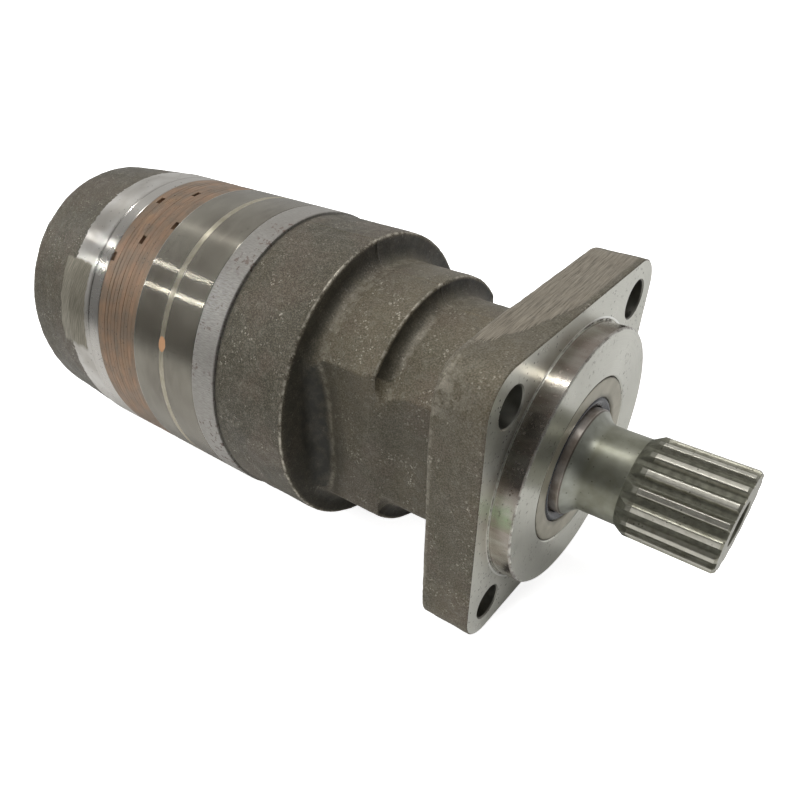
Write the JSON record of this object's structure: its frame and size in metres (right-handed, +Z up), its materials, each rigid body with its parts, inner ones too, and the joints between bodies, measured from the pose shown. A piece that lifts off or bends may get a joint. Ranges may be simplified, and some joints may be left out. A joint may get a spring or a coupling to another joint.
{
  "type": "orbital hydraulic motor",
  "caption": "Round low-speed hydraulic motor with a square four-bolt flange, locating pilot, splined output shaft, laminated manifold and a six-lobe roller rotor set inside.",
  "frame": {"origin": "centre of the flange's mounting face, on the motor axis", "axes": "+X along the motor axis towards the shaft's splined end, +Z up, the flange's sides parallel to Y and Z"},
  "size_m": [0.3361, 0.128, 0.128],
  "materials": {
    "cast_iron": "as cast, dark olive grey, fine sand texture",
    "turned_steel": "turned, satin",
    "ground_steel": "ground",
    "dark_steel": "ground, dark oil film",
    "bright_steel": "turned, bright",
    "copper_plate": "copper-brazed plate edges, dull",
    "bronze": "satin",
    "seal_metal": "pressed, tan-grey",
    "rubber": "matt black"
  },
  "bodies": {
    "housing": {"front_housing": "cast_iron", "dust_seal_case": "seal_metal", "dust_seal_lip": "rubber", "front_bearing_shell": "bright_steel", "shaft_seal": "rubber", "backup_washer": "bright_steel", "front_thrust_washer": "ground_steel", "inner_bearing_shell": "bright_steel", "rear_thrust_washer": "ground_steel", "wear_plate": "bright_steel", "stator_ring": "dark_steel", "manifold_plate_1": "copper_plate", "manifold_plate_2": "copper_plate", "manifold_plate_3": "copper_plate", "manifold_plate_4": "copper_plate", "manifold_plate_5": "copper_plate", "manifold_plate_6": "copper_plate", "manifold_plate_7": "copper_plate", "manifold_plate_8": "copper_plate", "manifold_plate_9": "copper_plate", "manifold_plate_10": "copper_plate", "manifold_plate_11": "copper_plate", "commutator_ring": "bright_steel", "end_cover": "cast_iron", "cover_bolts": "dark_steel", "body_seal_1": "rubber", "body_seal_2": "rubber", "body_seal_3": "rubber", "body_seal_4": "rubber", "body_seal_5": "rubber"},
    "output_shaft": {"output_shaft": "turned_steel"},
    "front_bearing_set": {"front_bearing_cage": "bronze", "front_bearing_rollers": "bright_steel"},
    "front_thrust_set": {"front_thrust_cage": "bronze", "front_thrust_rollers": "bright_steel"},
    "inner_bearing_set": {"inner_bearing_cage": "bronze", "inner_bearing_rollers": "bright_steel"},
    "rear_thrust_set": {"rear_thrust_cage": "bronze", "rear_thrust_rollers": "bright_steel"},
    "orbit": {"commutator_seal": "rubber"},
    "rotor": {"rotor": "ground_steel"},
    "drive_link": {"drive_link": "dark_steel"},
    "commutator": {"commutator": "bronze"},
    "stator_roller_1": {"stator_roller_1": "bright_steel"},
    "stator_roller_2": {"stator_roller_2": "bright_steel"},
    "stator_roller_3": {"stator_roller_3": "bright_steel"},
    "stator_roller_4": {"stator_roller_4": "bright_steel"},
    "stator_roller_5": {"stator_roller_5": "bright_steel"},
    "stator_roller_6": {"stator_roller_6": "bright_steel"},
    "stator_roller_7": {"stator_roller_7": "bright_steel"}
  },
  "joints": [
    {"name": "shaft_spin", "type": "hinge", "parent": "housing", "child": "output_shaft", "pos_m": [0, 0, 0], "axis": [1, 0, 0], "continuous": true},
    {"name": "rotor_orbit", "type": "hinge", "parent": "housing", "child": "orbit", "pos_m": [-0.1568, 0, 0], "axis": [1, 0, 0], "continuous": true},
    {"name": "rotor_spin", "type": "hinge", "parent": "orbit", "child": "rotor", "pos_m": [-0.1568, 0.0033, 0], "axis": [1, 0, 0], "continuous": true},
    {"name": "link_spin", "type": "hinge", "parent": "orbit", "child": "drive_link", "pos_m": [-0.072, 0, 0], "axis": [0.9992, -0.0389, 0], "continuous": true},
    {"name": "commutator_spin", "type": "hinge", "parent": "orbit", "child": "commutator", "pos_m": [-0.20583, 0.00521, 0], "axis": [1, 0, 0], "continuous": true},
    {"name": "roller_1_spin", "type": "hinge", "parent": "housing", "child": "stator_roller_1", "pos_m": [-0.1568, 0.04, 0], "axis": [1, 0, 0], "continuous": true},
    {"name": "roller_2_spin", "type": "hinge", "parent": "housing", "child": "stator_roller_2", "pos_m": [-0.1568, 0.02494, 0.03127], "axis": [1, 0, 0], "continuous": true},
    {"name": "roller_3_spin", "type": "hinge", "parent": "housing", "child": "stator_roller_3", "pos_m": [-0.1568, -0.0089, 0.039], "axis": [1, 0, 0], "continuous": true},
    {"name": "roller_4_spin", "type": "hinge", "parent": "housing", "child": "stator_roller_4", "pos_m": [-0.1568, -0.03604, 0.01736], "axis": [1, 0, 0], "continuous": true},
    {"name": "roller_5_spin", "type": "hinge", "parent": "housing", "child": "stator_roller_5", "pos_m": [-0.1568, -0.03604, -0.01736], "axis": [1, 0, 0], "continuous": true},
    {"name": "roller_6_spin", "type": "hinge", "parent": "housing", "child": "stator_roller_6", "pos_m": [-0.1568, -0.0089, -0.039], "axis": [1, 0, 0], "continuous": true},
    {"name": "roller_7_spin", "type": "hinge", "parent": "housing", "child": "stator_roller_7", "pos_m": [-0.1568, 0.02494, -0.03127], "axis": [1, 0, 0], "continuous": true},
    {"name": "front_bearing_spin", "type": "hinge", "parent": "housing", "child": "front_bearing_set", "pos_m": [-0.057, 0, 0], "axis": [1, 0, 0], "continuous": true},
    {"name": "front_thrust_spin", "type": "hinge", "parent": "housing", "child": "front_thrust_set", "pos_m": [-0.057, 0, 0], "axis": [1, 0, 0], "continuous": true},
    {"name": "inner_bearing_spin", "type": "hinge", "parent": "housing", "child": "inner_bearing_set", "pos_m": [-0.057, 0, 0], "axis": [1, 0, 0], "continuous": true},
    {"name": "rear_thrust_spin", "type": "hinge", "parent": "housing", "child": "rear_thrust_set", "pos_m": [-0.1247, 0, 0], "axis": [1, 0, 0], "continuous": true}
  ],
  "couplings": [
    {"joint": "rotor_orbit", "follows": "shaft_spin", "ratio": -6},
    {"joint": "rotor_spin", "follows": "shaft_spin", "ratio": 7},
    {"joint": "link_spin", "follows": "shaft_spin", "ratio": 7},
    {"joint": "commutator_spin", "follows": "shaft_spin", "ratio": 7},
    {"joint": "roller_1_spin", "follows": "shaft_spin", "ratio": -4.7041},
    {"joint": "roller_2_spin", "follows": "shaft_spin", "ratio": -4.7041},
    {"joint": "roller_3_spin", "follows": "shaft_spin", "ratio": -4.7041},
    {"joint": "roller_4_spin", "follows": "shaft_spin", "ratio": -4.7041},
    {"joint": "roller_5_spin", "follows": "shaft_spin", "ratio": -4.7041},
    {"joint": "roller_6_spin", "follows": "shaft_spin", "ratio": -4.7041},
    {"joint": "roller_7_spin", "follows": "shaft_spin", "ratio": -4.7041},
    {"joint": "front_bearing_spin", "follows": "shaft_spin", "ratio": 0.4605},
    {"joint": "front_thrust_spin", "follows": "shaft_spin", "ratio": 0.5},
    {"joint": "inner_bearing_spin", "follows": "shaft_spin", "ratio": 0.4726},
    {"joint": "rear_thrust_spin", "follows": "shaft_spin", "ratio": 0.5}
  ]
}
